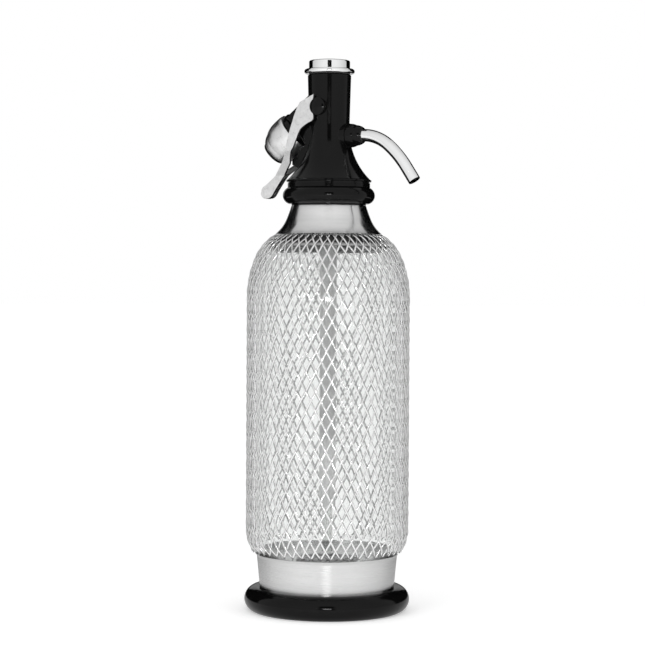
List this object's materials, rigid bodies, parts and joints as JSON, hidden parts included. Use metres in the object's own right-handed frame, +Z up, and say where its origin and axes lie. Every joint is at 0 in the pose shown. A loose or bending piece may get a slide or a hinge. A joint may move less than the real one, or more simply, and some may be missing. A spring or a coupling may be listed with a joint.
{
  "type": "soda siphon",
  "caption": "Glass soda siphon in a wire mesh sleeve, with a squeeze lever, a bent spout and a capped charger inlet.",
  "frame": {"origin": "centre of the foot's flat underside, on the bottle's axis", "axes": "+Z up along the bottle, +X along the spout, lever and charger cap towards -X, lever pivot along Y"},
  "size_m": [0.1103, 0.0992, 0.33],
  "materials": {
    "black_plastic": "gloss",
    "grey_plastic": "satin",
    "nylon": "satin",
    "dark_liner": "matt",
    "rubber": "matt",
    "brushed_steel": "brushed round",
    "polished_steel": "bright satin",
    "wire_mesh": "bright wire",
    "steel": "machined",
    "chrome": "mirror",
    "satin_chrome": "satin chrome",
    "brass": "machined",
    "clear_glass": "clear",
    "clear_tube": "satin"
  },
  "bodies": {
    "bottle": {"foot_ring": "black_plastic", "base_band": "brushed_steel", "bottle_seat": "grey_plastic", "base_pad": "rubber", "mesh_sleeve": "wire_mesh", "shoulder_ring": "dark_liner", "glass_bottle": "clear_glass", "neck_collar": "polished_steel", "neck_thread_ring": "brass"},
    "head": {"head_body": "black_plastic", "pivot_bushes": "nylon", "head_insert": "brass", "valve_seat": "nylon", "stem_seal": "rubber", "stem_guide": "brass", "head_gasket": "rubber", "riser_tube": "clear_tube", "sheath_tube": "grey_plastic", "tube_spacer": "nylon", "spout_nut": "black_plastic", "spout_seal": "rubber", "spout_tube": "chrome", "charger_collar": "black_plastic", "charger_nipple": "brass", "piercing_pin": "steel", "charger_seal": "rubber", "check_ball": "steel"},
    "charger_cap": {"charger_cap": "satin_chrome", "cap_liner": "rubber", "cap_end_disc": "black_plastic"},
    "top_cap": {"top_cap": "chrome", "top_cap_seal": "rubber"},
    "stem": {"valve_stem": "steel", "stem_head": "steel", "valve_rubber": "rubber", "stem_nut": "brass", "valve_spring": "steel"},
    "lever": {"lever": "satin_chrome", "pivot_caps": "black_plastic", "pivot_shaft": "steel", "valve_cam": "steel"}
  },
  "joints": [
    {"name": "head_lift", "type": "slide", "parent": "bottle", "child": "head", "axis": [0, 0, 1], "range_m": [0, 0.23]},
    {"name": "lever_squeeze", "type": "hinge", "parent": "head", "child": "lever", "pos_m": [0, 0, 0.301], "axis": [0, -1, 0], "range_deg": [0, 6], "stiffness_Nm_per_rad": 4, "springref_deg": -2.86},
    {"name": "stem_push", "type": "slide", "parent": "head", "child": "stem", "axis": [0, 0, -1], "range_m": [0, 0.0008], "deforming": ["valve_spring"]},
    {"name": "charger_cap_off", "type": "slide", "parent": "head", "child": "charger_cap", "axis": [-0.7727, 0, -0.6347], "range_m": [0, 0.0076]},
    {"name": "top_cap_off", "type": "slide", "parent": "head", "child": "top_cap", "axis": [0, 0, 1], "range_m": [0, 0.016]}
  ],
  "couplings": [
    {"joint": "stem_push", "follows": "lever_squeeze", "m_per_rad": 0.0059}
  ]
}
